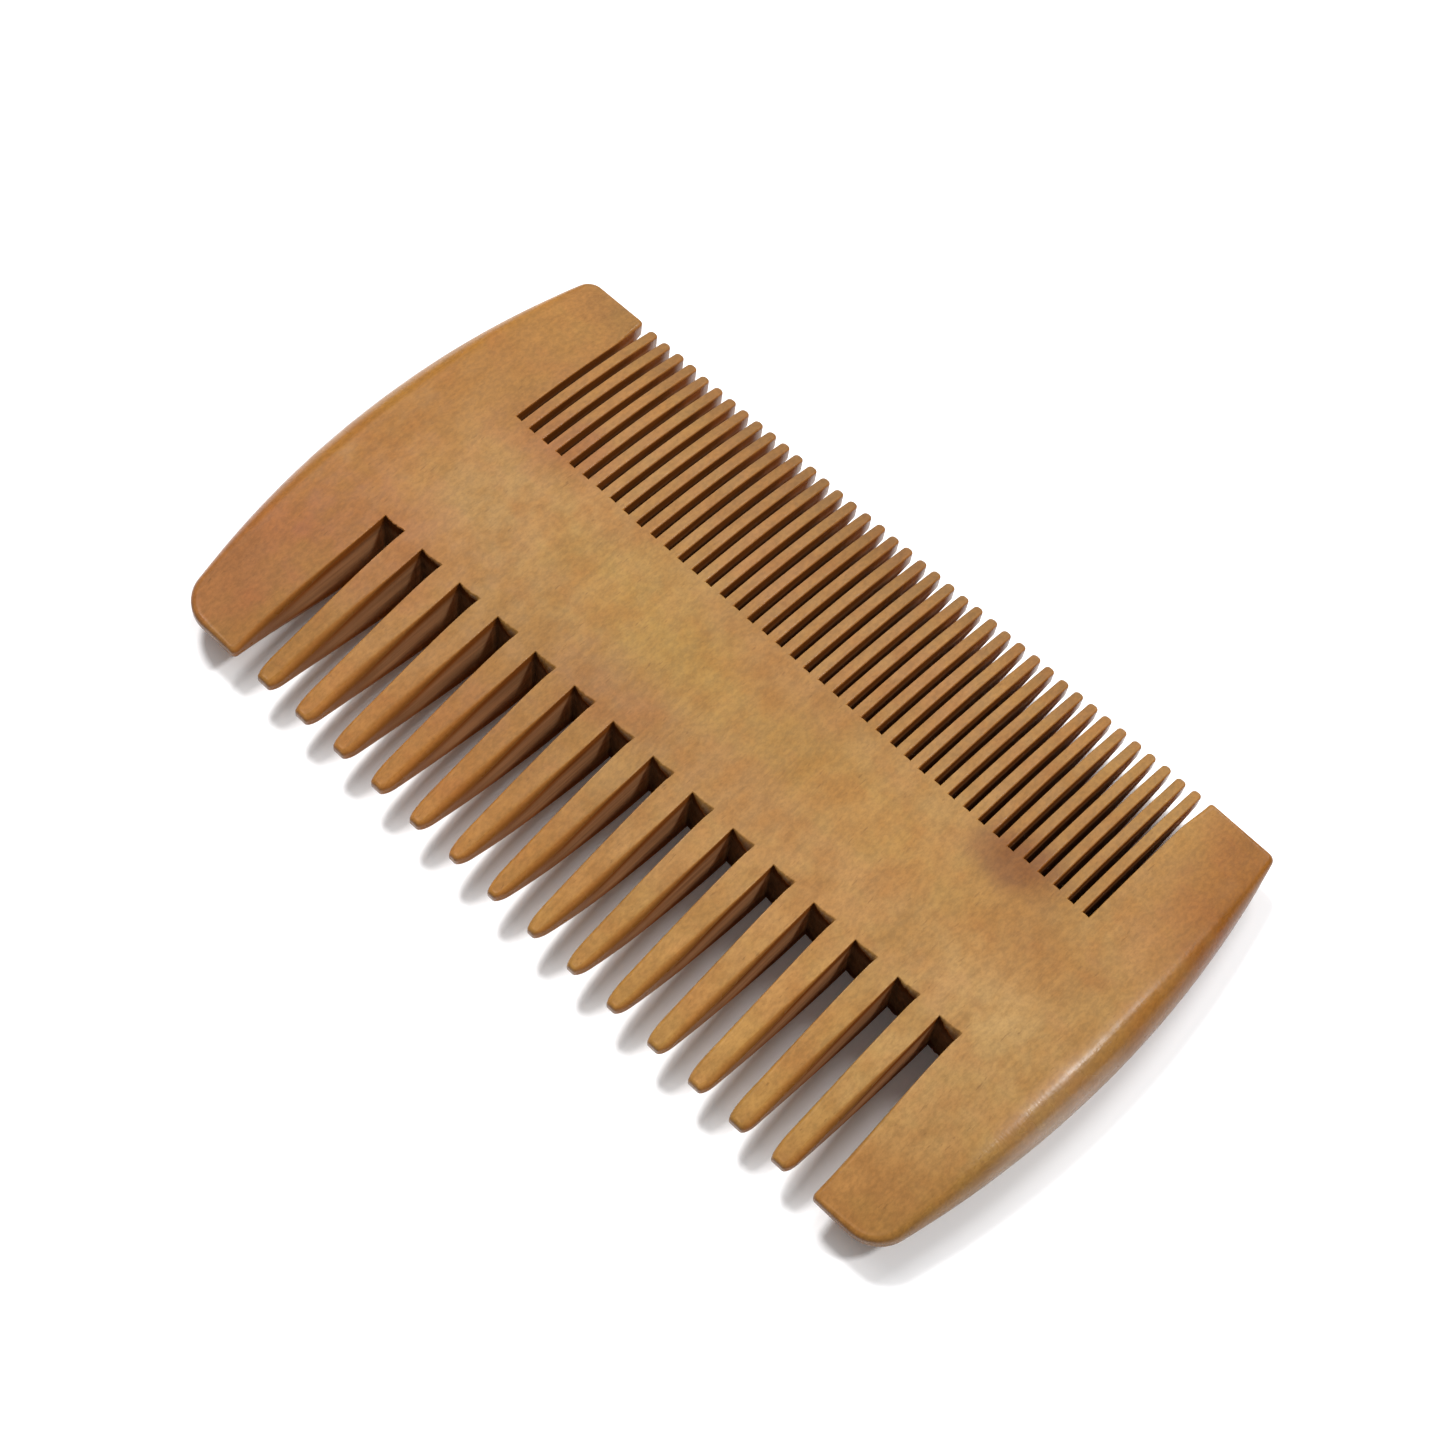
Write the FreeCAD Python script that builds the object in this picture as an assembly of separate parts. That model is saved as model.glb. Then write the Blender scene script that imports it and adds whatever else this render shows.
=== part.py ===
import FreeCAD, Part
import math
import os

from FreeCAD import Vector

# A beard comb cut from one board, with wide teeth along one long side and fine teeth along the other.
# X runs along the comb, +Y points to the fine teeth, and +Z is up, out of the face.
# The origin is the comb's centre, half way through its thickness. Lengths are in millimetres.

# The board
LENGTH = 105.7
WIDTH = 59.7
THICKNESS = 8.6
LAND_WIDTH = 6.0
NOSE_THICKNESS_WIDE = 1.1
NOSE_THICKNESS_FINE = 1.8
NOSE_LENGTH = 0.4

# The two ends, each a shallow arc in plan whose furthest point is a little off the comb's middle line
LEFT_END_RADIUS = 113.0
RIGHT_END_RADIUS = 118.0
LEFT_APEX_Y = -1.5
RIGHT_APEX_Y = 2.75
RIM_RADIUS = 3.6
CORNER_RADIUS_WIDE_LEFT = 4.3
CORNER_RADIUS_WIDE_RIGHT = 4.4
CORNER_RADIUS_FINE_LEFT = 2.0
CORNER_RADIUS_FINE_RIGHT = 1.0

# The wide row
WIDE_TEETH = 14
WIDE_PITCH = 5.56
WIDE_SLOT_WIDTH = 2.67
WIDE_ROW_X = -0.4
WIDE_ROOT_Y = -8.7
WIDE_ROOT_SAG = 0.15
WIDE_TAPER_START_Y = -21.0
WIDE_TAPER_LEFT_FLANK = 0.05
WIDE_TAPER_OUTER = 0.25
WIDE_TAPER_MIDDLE_EXTRA = 0.8
WIDE_TAPER_SPREAD = 22.0
WIDE_TIP_RADIUS = 0.45

# The fine row
FINE_TEETH = 40
FINE_PITCH = 2.0
FINE_SLOT_WIDTH = 0.8
FINE_ROW_X = 0.4
FINE_ROOT_Y = 9.55
FINE_TAPER_START_Y = 27.2
FINE_TAPER = 0.07
FINE_TIP_RADIUS = 0.4

# How much of its taper a flank has made half way along the taper
TAPER_BOW = 0.25
# The plan outline sits this far inside the rounded nose and rims, so that no two cut faces coincide
RELIEF = 0.02
# How far the cutting solids run past the board
OVERRUN = 3.0


def line(start, end):
    return Part.LineSegment(start, end).toShape()


def arc(start, middle, end):
    return Part.Arc(start, middle, end).toShape()


def extrude_between(edges, direction):
    """A solid from a closed outline, swept by a vector."""
    return Part.Face(Part.Wire(edges)).extrude(direction)


def end_radius(side):
    """The radius of an end arc; side is -1 for the left end and +1 for the right."""
    return LEFT_END_RADIUS if side < 0 else RIGHT_END_RADIUS


def end_centre(side, apex_y):
    return Vector(side * (LENGTH / 2 - end_radius(side)), apex_y, 0)


def arc_x(side, apex_y, y):
    """Where an end arc lies at a given y."""
    return end_centre(side, apex_y).x + side * math.sqrt(end_radius(side) ** 2 - (y - apex_y) ** 2)


def plan_prism():
    """The outline seen from above, as a prism with its four corners rounded."""
    low = -THICKNESS
    half = WIDTH / 2
    wide_left = Vector(arc_x(-1, LEFT_APEX_Y, -half), -half, low)
    wide_right = Vector(arc_x(1, RIGHT_APEX_Y, -half), -half, low)
    fine_right = Vector(arc_x(1, RIGHT_APEX_Y, half), half, low)
    fine_left = Vector(arc_x(-1, LEFT_APEX_Y, half), half, low)
    edges = [
        line(wide_left, wide_right),
        arc(wide_right, Vector(LENGTH / 2, RIGHT_APEX_Y, low), fine_right),
        line(fine_right, fine_left),
        arc(fine_left, Vector(-LENGTH / 2, LEFT_APEX_Y, low), wide_left),
    ]
    prism = extrude_between(edges, Vector(0, 0, 2 * THICKNESS))
    corners = [
        (wide_left, CORNER_RADIUS_WIDE_LEFT),
        (wide_right, CORNER_RADIUS_WIDE_RIGHT),
        (fine_right, CORNER_RADIUS_FINE_RIGHT),
        (fine_left, CORNER_RADIUS_FINE_LEFT),
    ]
    for corner, radius in corners:
        prism = prism.makeFillet(radius, [upright_edge_at(prism, corner)])
    return prism


def upright_edge_at(solid, point):
    """The vertical edge of a prism that passes nearest to a point."""
    def distance(edge):
        middle = edge.BoundBox.Center
        return math.hypot(middle.x - point.x, middle.y - point.y)

    upright = [edge for edge in solid.Edges if edge.BoundBox.ZLength > THICKNESS]
    return min(upright, key=distance)


def lens_bar():
    """The cross-section, thick in the middle and thin at the tips, run along the whole length."""
    x = -LENGTH / 2 - OVERRUN
    top = THICKNESS / 2
    nose_y = WIDTH / 2 + RELIEF
    face_end_y = nose_y - NOSE_LENGTH
    land_y = LAND_WIDTH / 2

    def at(y, z):
        return Vector(x, y, z)

    def half_section(side, nose_z):
        """The two face arcs and the rounded nose of one half; side is the sign of its y."""
        run = face_end_y - land_y
        drop = top - nose_z
        face_radius = (run ** 2 + drop ** 2) / (2 * drop)
        middle_y = side * (land_y + run / 2)
        middle_z = top - face_radius + math.sqrt(face_radius ** 2 - (run / 2) ** 2)
        return [
            arc(at(side * land_y, top), at(middle_y, middle_z), at(side * face_end_y, nose_z)),
            arc(at(side * face_end_y, nose_z), at(side * nose_y, 0), at(side * face_end_y, -nose_z)),
            arc(at(side * face_end_y, -nose_z), at(middle_y, -middle_z), at(side * land_y, -top)),
        ]

    edges = [
        line(at(-land_y, top), at(land_y, top)),
        line(at(land_y, -top), at(-land_y, -top)),
    ]
    edges = edges + half_section(-1, NOSE_THICKNESS_WIDE / 2) + half_section(1, NOSE_THICKNESS_FINE / 2)
    return extrude_between(Part.__sortEdges__(edges), Vector(LENGTH + 2 * OVERRUN, 0, 0))


def rim_disc(side, apex_y):
    """A large disc with a rounded rim. Its rim shapes one end of the board."""
    radius = end_radius(side) + RELIEF
    top = THICKNESS / 2 + RELIEF
    flat_z = top - RIM_RADIUS
    inner = radius - RIM_RADIUS
    bend = RIM_RADIUS * math.sqrt(0.5)
    edges = [
        line(Vector(0, 0, -top), Vector(inner, 0, -top)),
        arc(Vector(inner, 0, -top), Vector(inner + bend, 0, -flat_z - bend), Vector(radius, 0, -flat_z)),
        line(Vector(radius, 0, -flat_z), Vector(radius, 0, flat_z)),
        arc(Vector(radius, 0, flat_z), Vector(inner + bend, 0, flat_z + bend), Vector(inner, 0, top)),
        line(Vector(inner, 0, top), Vector(0, 0, top)),
        line(Vector(0, 0, top), Vector(0, 0, -top)),
    ]
    profile = Part.Face(Part.Wire(edges))
    disc = profile.revolve(Vector(0, 0, 0), Vector(0, 0, 1), 360)
    disc.translate(end_centre(side, apex_y))
    return disc


def board():
    """The comb before its teeth are cut."""
    solid = lens_bar().common(plan_prism())
    solid = solid.common(rim_disc(-1, LEFT_APEX_Y))
    return solid.common(rim_disc(1, RIGHT_APEX_Y))


def flank(wall_x, side, taper, taper_y, tip_radius, tip_y):
    """
    One wall of a slot, from where the tooth starts to taper out past its tip.

    side is the direction in X from the slot into the tooth, and tip_y is the line of the tips.
    """
    outward = math.copysign(1.0, tip_y)
    bend_x = wall_x + side * taper
    bend_y = tip_y - outward * tip_radius
    past_y = tip_y + outward * OVERRUN
    arc_centre = Vector(bend_x + side * tip_radius, bend_y, 0)
    reach = tip_radius * math.sqrt(0.5)
    tip_middle = arc_centre + Vector(-side * reach, outward * reach, 0)
    taper_start = Vector(wall_x, taper_y, 0)
    taper_middle = Vector(wall_x + side * taper * TAPER_BOW, (taper_y + bend_y) / 2, 0)
    taper_end = Vector(bend_x, bend_y, 0)
    tip_start = Vector(arc_centre.x, tip_y, 0)
    edges = [
        arc(taper_start, taper_middle, taper_end),
        arc(taper_end, tip_middle, tip_start),
        line(tip_start, Vector(arc_centre.x, past_y, 0)),
    ]
    return edges


def slot_cutter(left_flank, right_flank, root_edges):
    """A slot as a solid that runs right through the board."""
    left_start = left_flank[0].Vertexes[0].Point
    right_start = right_flank[0].Vertexes[0].Point
    left_root = root_edges[0].Vertexes[0].Point
    right_root = root_edges[-1].Vertexes[-1].Point
    left_out = left_flank[-1].Vertexes[-1].Point
    right_out = right_flank[-1].Vertexes[-1].Point
    edges = root_edges + [line(left_root, left_start), line(right_root, right_start)]
    edges = edges + left_flank + right_flank + [line(left_out, right_out)]
    outline = Part.Wire(Part.__sortEdges__(edges))
    solid = Part.Face(outline).extrude(Vector(0, 0, 2 * THICKNESS))
    solid.translate(Vector(0, 0, -THICKNESS))
    return solid


def wide_taper(x):
    """How much the right flank of a wide tooth draws in towards its tip: most in the middle of the row."""
    return WIDE_TAPER_OUTER + WIDE_TAPER_MIDDLE_EXTRA * math.exp(-(x / WIDE_TAPER_SPREAD) ** 2)


def wide_slots():
    """The slots between the wide teeth, with a slightly bowed bottom and a flared mouth."""
    cutters = []
    tip_y = -WIDTH / 2
    for number in range(WIDE_TEETH + 1):
        x = WIDE_ROW_X + (number - WIDE_TEETH / 2) * WIDE_PITCH
        left_x = x - WIDE_SLOT_WIDTH / 2
        right_x = x + WIDE_SLOT_WIDTH / 2
        taper = wide_taper(x - WIDE_PITCH / 2)
        left = flank(left_x, -1, taper, WIDE_TAPER_START_Y, WIDE_TIP_RADIUS, tip_y)
        right = flank(right_x, 1, WIDE_TAPER_LEFT_FLANK, WIDE_TAPER_START_Y, WIDE_TIP_RADIUS, tip_y)
        root = arc(
            Vector(left_x, WIDE_ROOT_Y, 0),
            Vector(x, WIDE_ROOT_Y - WIDE_ROOT_SAG, 0),
            Vector(right_x, WIDE_ROOT_Y, 0),
        )
        cutters.append(slot_cutter(left, right, [root]))
    return cutters


def fine_slots():
    """The saw cuts between the fine teeth, each opening a little at its mouth."""
    cutters = []
    tip_y = WIDTH / 2
    for number in range(FINE_TEETH + 1):
        x = FINE_ROW_X + (number - FINE_TEETH / 2) * FINE_PITCH
        left_x = x - FINE_SLOT_WIDTH / 2
        right_x = x + FINE_SLOT_WIDTH / 2
        left = flank(left_x, -1, FINE_TAPER, FINE_TAPER_START_Y, FINE_TIP_RADIUS, tip_y)
        right = flank(right_x, 1, FINE_TAPER, FINE_TAPER_START_Y, FINE_TIP_RADIUS, tip_y)
        root = line(Vector(left_x, FINE_ROOT_Y, 0), Vector(right_x, FINE_ROOT_Y, 0))
        cutters.append(slot_cutter(left, right, [root]))
    return cutters


def comb():
    return board().cut(wide_slots() + fine_slots())


os.makedirs("parts", exist_ok=True)
comb().exportStep("parts/comb.step")
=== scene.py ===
import math
import random
from dataclasses import dataclass, field

import bpy
import numpy as np
from mathutils import Matrix, Vector, geometry


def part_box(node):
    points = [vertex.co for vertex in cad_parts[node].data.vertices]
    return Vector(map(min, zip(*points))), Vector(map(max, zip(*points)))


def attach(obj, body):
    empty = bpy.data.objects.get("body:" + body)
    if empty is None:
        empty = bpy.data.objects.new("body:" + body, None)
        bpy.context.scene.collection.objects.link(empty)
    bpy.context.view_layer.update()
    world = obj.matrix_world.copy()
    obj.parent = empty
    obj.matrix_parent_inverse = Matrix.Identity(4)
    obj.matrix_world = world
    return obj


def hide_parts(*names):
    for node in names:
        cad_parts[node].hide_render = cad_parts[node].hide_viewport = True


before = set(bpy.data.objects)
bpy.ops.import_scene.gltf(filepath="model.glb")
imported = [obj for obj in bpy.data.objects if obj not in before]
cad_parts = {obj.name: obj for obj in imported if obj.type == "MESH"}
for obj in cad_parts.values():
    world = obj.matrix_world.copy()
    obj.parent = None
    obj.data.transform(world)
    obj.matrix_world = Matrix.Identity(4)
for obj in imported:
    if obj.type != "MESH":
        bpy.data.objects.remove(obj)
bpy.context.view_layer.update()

# Lengths in this script are in millimetres until they reach Blender, which is in metres.
MM = 0.001

# The board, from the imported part
HIGH_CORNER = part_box("comb")[1]
HALF_LENGTH = HIGH_CORNER.x / MM
HALF_WIDTH = HIGH_CORNER.y / MM
HALF_THICKNESS = HIGH_CORNER.z / MM

# Section: a flat land, then a shallow arc down to the thin tips
LAND_HALF_WIDTH = 3.0
WIDE_TIP_HALF_THICKNESS = 0.62
FINE_TIP_HALF_THICKNESS = 0.95

# The two ends in plan, as arcs whose furthest point is a little off the middle line
LEFT_END_RADIUS = 113.0
RIGHT_END_RADIUS = 118.0
LEFT_APEX_Y = -1.5
RIGHT_APEX_Y = 2.75

# How the edges of the faces are rounded. An inset is how far the rounding reaches in over the face.
# A fullness of 1 is a straight bevel, 2 is a plain ellipse, and more than 2 runs into the face with
# no visible line. A wall share is how much of the half thickness stays upright.
EDGE_FULLNESS = 2.0
CHIP_FULLNESS = 1.1
END_FULLNESS = 2.7
END_INSET_MIDDLE = 4.8
END_INSET_CORNER = 0.75
END_INSET_POWER = 1.3
END_WALL_SHARE = 0.06
CORNER_WALL_SHARE = 0.55
# An end has its corner shape at the tips, and its full shape where the face is this much higher.
END_SHAPE_RISE = 1.5

# The teeth: how far out from its root a tooth's sway builds up, the most that a tip's corner takes off
# the half width, the least flat that two corners leave, and how much of the taper is on the left flanks
SWAY_RUN = 12.0
TIP_CORNER_REACH = 0.6
TIP_FLAT = 0.12
WIDE_LEFT_TAPER_SHARE = 0.25

# The guards: how far the rounding of a tip's flat and of its slot wall reaches in, and how far the slot
# wall leans away from the slot by the tip
GUARD_TIP_INSET = 0.5
GUARD_SOFT_INSET = 0.75
GUARD_LEAN = 0.3

# The chips on the slots' end walls start small at a row's first slot and reach full size after a few.
CHIP_GROWTH_SLOTS = 4
CHIP_SMALLEST = 0.55
CHIP_LARGEST = 1.15

# The attribute for sawn walls is 0 on polished wood and 1 on a clean cut. From 1 to 2 the cut gets
# darker: painted shade in the narrow kerfs, and on the end walls of the slots, which cut across the
# grain, darker end grain with painted shade.
END_GRAIN_AND_SHADE = 2.0

# Mesh density. A grid of points fills the faces, and a clearance keeps it off the edges.
ROUNDING_STEPS = 6
WALL_STEPS = 4
CORNER_STEPS = 10
END_ARC_STEPS = 64
GUARD_FLAT_STEPS = 8
GRID_SPACING = 1.7
GRID_CLEARANCE = 0.9
# Stations on a flank start this far past the chip, and crowd this much towards its two ends.
FLANK_START = 0.35
FLANK_CROWDING = 0.10
# The width of the narrow band round the faces: a fixed part, and a share of the rounding next to it
BAND_WIDTH = 0.03
BAND_SHARE = 0.1

SEED = 11
dice = random.Random(SEED)


@dataclass
class Row:
    """
    One row of teeth. u runs across the row, and v is the distance out from the comb's middle line.

    root_ values shape the slots' end walls, chip_ values the facet torn off them, and soft_ values how
    the edges round off from soft_start_v out to the tips. A soft pair is the share of a tooth's half
    width that the rounding takes, at first and at the tip. The fine row is the wide one's layout turned
    half round. The lists hold the small differences between teeth or slots.
    """

    teeth: int
    pitch: float
    slot_width: float
    shift: float
    root_v: float
    root_bulge: float
    root_tilt: float
    chip_run: float
    chip_drop: float
    root_steps: int
    flank_steps: int
    tip_steps: int
    left_corner: float
    right_corner: float
    taper_start_v: float
    soft_start_v: float
    left_soft: tuple
    right_soft: tuple
    tip_inset: float
    tip_wall_share: float
    edge_inset: float
    guard_outer_corners: tuple
    guard_slot_corners: tuple
    wall_cut_and_shade: float
    half_turn: bool
    tapers: list = field(default_factory=list)
    root_jitter: list = field(default_factory=list)
    tip_jitter: list = field(default_factory=list)
    sway: list = field(default_factory=list)
    chip_size: list = field(default_factory=list)
    rag: float = 0.0

    def slot_left(self, slot):
        """u of the left wall of a slot."""
        return self.shift + (slot - self.teeth / 2) * self.pitch - self.slot_width / 2

    def slot_right(self, slot):
        return self.slot_left(slot) + self.slot_width

    def tooth_centre(self, tooth):
        """u of a tooth's middle at its root."""
        return self.shift + (tooth + 0.5 - self.teeth / 2) * self.pitch

    def to_plan(self, u, v):
        """From the row's own directions to the comb's X and Y."""
        return (-u, v) if self.half_turn else (u, -v)


def smooth(t):
    """Eases from 0 to 1."""
    t = min(max(t, 0.0), 1.0)
    return t * t * (3 - 2 * t)


def tip_half_thickness(y):
    """The half thickness at the tips of the row that a given y is in."""
    return np.where(np.asarray(y) > 0, FINE_TIP_HALF_THICKNESS, WIDE_TIP_HALF_THICKNESS)


def face_height(y):
    """How far the comb's faces stand from its middle plane."""
    run = HALF_WIDTH - LAND_HALF_WIDTH
    face_radius = run * run / (2 * (HALF_THICKNESS - tip_half_thickness(y)))
    fall = np.maximum(np.abs(y) - LAND_HALF_WIDTH, 0.0)
    return HALF_THICKNESS - fall * fall / (2 * face_radius)


def wide_row():
    """The wide teeth, which taper most in the middle of the row."""
    row = Row(
        teeth=14, pitch=5.56, slot_width=2.67, shift=-0.4,
        root_v=8.62, root_bulge=0.14, root_tilt=-0.16, chip_run=0.55, chip_drop=1.5,
        root_steps=12, flank_steps=26, tip_steps=5,
        left_corner=3.0, right_corner=1.6, taper_start_v=20.0, soft_start_v=10.5,
        left_soft=(0.09, 0.48), right_soft=(0.09, 0.95), tip_inset=0.6, tip_wall_share=0.3,
        edge_inset=0.13, guard_outer_corners=(4.3, 4.4), guard_slot_corners=(0.5, 0.5),
        wall_cut_and_shade=1.0, half_turn=False,
    )
    outer_taper = 0.20
    middle_extra = 0.68
    spread = 20.0
    variation = 0.06
    for tooth in range(row.teeth):
        extra = middle_extra * math.exp(-((row.tooth_centre(tooth) / spread) ** 2))
        row.tapers.append(outer_taper + extra + dice.uniform(-variation, variation))
    return row


def fine_row():
    """The fine teeth, which keep their width."""
    teeth = 40
    taper = 0.01
    variation = 0.03
    return Row(
        teeth=teeth, pitch=2.0, slot_width=0.8, shift=-0.4,
        root_v=9.5, root_bulge=0.05, root_tilt=0.0, chip_run=0.05, chip_drop=0.1,
        root_steps=4, flank_steps=22, tip_steps=4,
        left_corner=0.5, right_corner=0.5, taper_start_v=27.5, soft_start_v=24.5,
        left_soft=(0.4, 0.5), right_soft=(0.16, 0.45), tip_inset=0.35, tip_wall_share=0.8,
        edge_inset=0.16, guard_outer_corners=(1.0, 2.0), guard_slot_corners=(0.4, 0.6),
        # A wall mark above 1 darkens the fine kerfs, as painted shade.
        wall_cut_and_shade=1.55, half_turn=True,
        tapers=[taper + dice.uniform(-variation, variation) for _ in range(teeth)],
    )


def add_wear(row, root_amount, tip_amount, sway_amount, rag):
    """Small differences between teeth and slots, as hand-finished wood has."""
    row.rag = rag
    for slot in range(row.teeth + 1):
        growth = smooth((slot + 0.5) / CHIP_GROWTH_SLOTS)
        row.chip_size.append(growth * dice.uniform(CHIP_SMALLEST, CHIP_LARGEST))
    row.root_jitter = [dice.uniform(-root_amount, root_amount) for _ in range(row.teeth + 1)]
    row.tip_jitter = [dice.uniform(0.0, tip_amount) for _ in range(row.teeth)]
    row.sway = [dice.uniform(-sway_amount, sway_amount) for _ in range(row.teeth)]


class Outline:
    """
    The comb's edge, walked once round anticlockwise.

    Each station has a point on the outer edge, the point on the face where the rounding from that edge
    ends, the half-height of the upright wall left at the edge, how full the rounding between them is,
    and how freshly sawn the wall is. Above 1 that number darkens the wall: painted shade in the narrow
    kerfs, and darker end grain with painted shade on the slots' end walls.
    """

    def __init__(self):
        self.edge = []
        self.face = []
        self.wall = []
        self.fullness = []
        self.sawn = []

    def add(self, edge, face, wall, fullness=EDGE_FULLNESS, sawn=0.0):
        self.edge.append(edge)
        self.face.append(face)
        self.wall.append(wall)
        self.fullness.append(fullness)
        self.sawn.append(sawn)


def side_taper(row, tooth, side):
    """How much one flank draws in by the tip. The left flanks of the wide teeth hardly do."""
    share = WIDE_LEFT_TAPER_SHARE if side < 0 and not row.half_turn else 1.0
    return row.tapers[tooth] * share


def tip_softness(row, v):
    """0 where a row's edges are still crisp, easing to 1 at the tips."""
    return smooth((v - row.soft_start_v) / (HALF_WIDTH - row.soft_start_v))


def softened_wall(row, v, softness):
    """The half-height of the upright wall beside a slot."""
    sharp_wall = float(face_height(v)) - row.edge_inset
    soft_wall = float(face_height(v)) * row.tip_wall_share
    return sharp_wall + (soft_wall - sharp_wall) * softness


def flank_point(row, tooth, side, v, cap, base_half):
    """A station on one flank of a tooth. cap is what the tip's corner takes off the half width."""
    tip_v = HALF_WIDTH - row.tip_jitter[tooth]
    centre = row.tooth_centre(tooth) + row.sway[tooth] * smooth((v - row.root_v) / SWAY_RUN)
    along = min(max((v - row.taper_start_v) / (HALF_WIDTH - row.taper_start_v), 0.0), 1.0)
    half = base_half - side_taper(row, tooth, side) * along ** 2 - cap
    soft_low, soft_high = row.left_soft if side < 0 else row.right_soft
    softness = tip_softness(row, v)
    soft = soft_low + (soft_high - soft_low) * softness
    face_v = v - row.tip_inset * ((v - row.root_v) / (tip_v - row.root_v)) ** 3
    edge = row.to_plan(centre + side * half, v)
    face = row.to_plan(centre + side * half * (1 - soft), face_v)
    return edge, face, softened_wall(row, v, softness), EDGE_FULLNESS, row.wall_cut_and_shade * (1.0 - softness)


def flank_levels(row, corner, tip_v):
    """Where the stations lie along a flank, from near the root to the start of the tip's corner."""
    start = row.root_v + row.root_bulge + row.chip_run + FLANK_START
    end = tip_v - corner
    levels = []
    for step in range(row.flank_steps):
        t = step / row.flank_steps
        eased = t + FLANK_CROWDING * math.sin(2 * math.pi * t) / math.pi
        levels.append(start + (end - start) * eased)
    return levels


def flank(row, tooth, side):
    """Stations from the root out to the flat of the tip, round the tip's corner."""
    base_half = (row.pitch - row.slot_width) / 2
    corner = row.left_corner if side < 0 else row.right_corner
    tip_v = HALF_WIDTH - row.tip_jitter[tooth]
    across = min(corner, TIP_CORNER_REACH, base_half - side_taper(row, tooth, side) - TIP_FLAT / 2)
    stations = [flank_point(row, tooth, side, v, 0.0, base_half) for v in flank_levels(row, corner, tip_v)]
    for step in range(CORNER_STEPS // 2 + 1):
        angle = math.pi / 2 * step / (CORNER_STEPS // 2)
        v = tip_v - corner + corner * math.sin(angle)
        cap = across * (1 - math.cos(angle))
        stations.append(flank_point(row, tooth, side, v, cap, base_half))
    return stations


def tooth_tip(row, tooth, left, right):
    """Stations across the flat of a tip, between its two corners."""
    stations = []
    for step in range(1, row.tip_steps):
        t = step / row.tip_steps
        edge = tuple(a + (b - a) * t for a, b in zip(left[0], right[0]))
        face = tuple(a + (b - a) * t for a, b in zip(left[1], right[1]))
        stations.append((edge, face, left[2], EDGE_FULLNESS, 0.0))
    return stations


def slot_root(row, slot):
    """
    Stations along a slot's end wall, both corners included.

    The cutter bows the wall's top edge out towards the tips, and tears a facet off it that grows across
    the slot.
    """
    left, right = row.slot_left(slot), row.slot_right(slot)
    inset = row.edge_inset
    stations = []
    for step in range(row.root_steps + 1):
        t = step / row.root_steps
        bow = row.root_bulge * 4 * t * (1 - t) + row.root_tilt * t
        chip = t * row.chip_size[slot]
        ragged = dice.uniform(-row.rag, row.rag) * math.sin(math.pi * t)
        face_v = row.root_v + row.root_jitter[slot] + bow + ragged
        edge_v = face_v + inset + row.chip_run * chip
        edge = row.to_plan(left + (right - left) * t, edge_v)
        face = row.to_plan(left - inset + (right - left + 2 * inset) * t, face_v)
        wall = float(face_height(edge_v)) - inset - row.chip_drop * chip
        stations.append((edge, face, wall, CHIP_FULLNESS if chip > 0 else EDGE_FULLNESS, END_GRAIN_AND_SHADE))
    return stations


def guard_point(row, side, wall_u, v, cap):
    """A station on a guard's slot wall. cap is what the tip's corner takes off the guard."""
    softness = tip_softness(row, v)
    inset = row.edge_inset + (GUARD_SOFT_INSET - row.edge_inset) * softness
    face_v = v - GUARD_TIP_INSET * ((v - row.root_v) / (HALF_WIDTH - row.root_v)) ** 3
    lean = GUARD_LEAN * softness
    edge = row.to_plan(wall_u + side * (cap + lean), v)
    face = row.to_plan(wall_u + side * (cap + lean + inset), face_v)
    return edge, face, softened_wall(row, v, softness), EDGE_FULLNESS, row.wall_cut_and_shade * (1.0 - softness)


def guard_flank(row, side, corner, wall_u):
    """
    The slot wall of a guard and the small corner at its tip, from the root outwards.

    side is -1 for a guard on the left of the row, whose wall faces right.
    """
    stations = []
    for v in flank_levels(row, corner, HALF_WIDTH):
        stations.append(guard_point(row, side, wall_u, v, 0.0))
    for step in range(CORNER_STEPS // 2 + 1):
        angle = math.pi / 2 * step / (CORNER_STEPS // 2)
        v = HALF_WIDTH - corner + corner * math.sin(angle)
        stations.append(guard_point(row, side, wall_u, v, corner * (1 - math.cos(angle))))
    return stations


def end_radius(side):
    """Radius of an end arc in plan. side is -1 for the left end."""
    return LEFT_END_RADIUS if side < 0 else RIGHT_END_RADIUS


def end_x(side, apex_y, y):
    """x of an end arc at a given y."""
    radius = end_radius(side)
    return side * (HALF_LENGTH - radius + math.sqrt(radius ** 2 - (y - apex_y) ** 2))


def end_inset(y):
    """How far the rounding of an end reaches in, which follows the thickness there."""
    tip = float(tip_half_thickness(y))
    share = (float(face_height(y)) - tip) / (HALF_THICKNESS - tip)
    share = max(share, 0.0)
    return END_INSET_CORNER + (END_INSET_MIDDLE - END_INSET_CORNER) * share ** END_INSET_POWER


def end_shape(y):
    """0 at the tips of a guard, easing to 1 where an end has its full shape."""
    return smooth((float(face_height(y)) - float(tip_half_thickness(y))) / END_SHAPE_RISE)


def end_wall(y):
    """The half-height of the upright wall on an end, a larger share of the thickness at the corners."""
    share = end_shape(y)
    return float(face_height(y)) * (CORNER_WALL_SHARE * (1 - share) + END_WALL_SHARE * share)


def end_fullness(y):
    return EDGE_FULLNESS + (END_FULLNESS - EDGE_FULLNESS) * end_shape(y)


def corner_inset(y, radius):
    """How far the rounding of a guard's outer corner reaches in."""
    return min(end_inset(y), GUARD_TIP_INSET + radius / 2)


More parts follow.
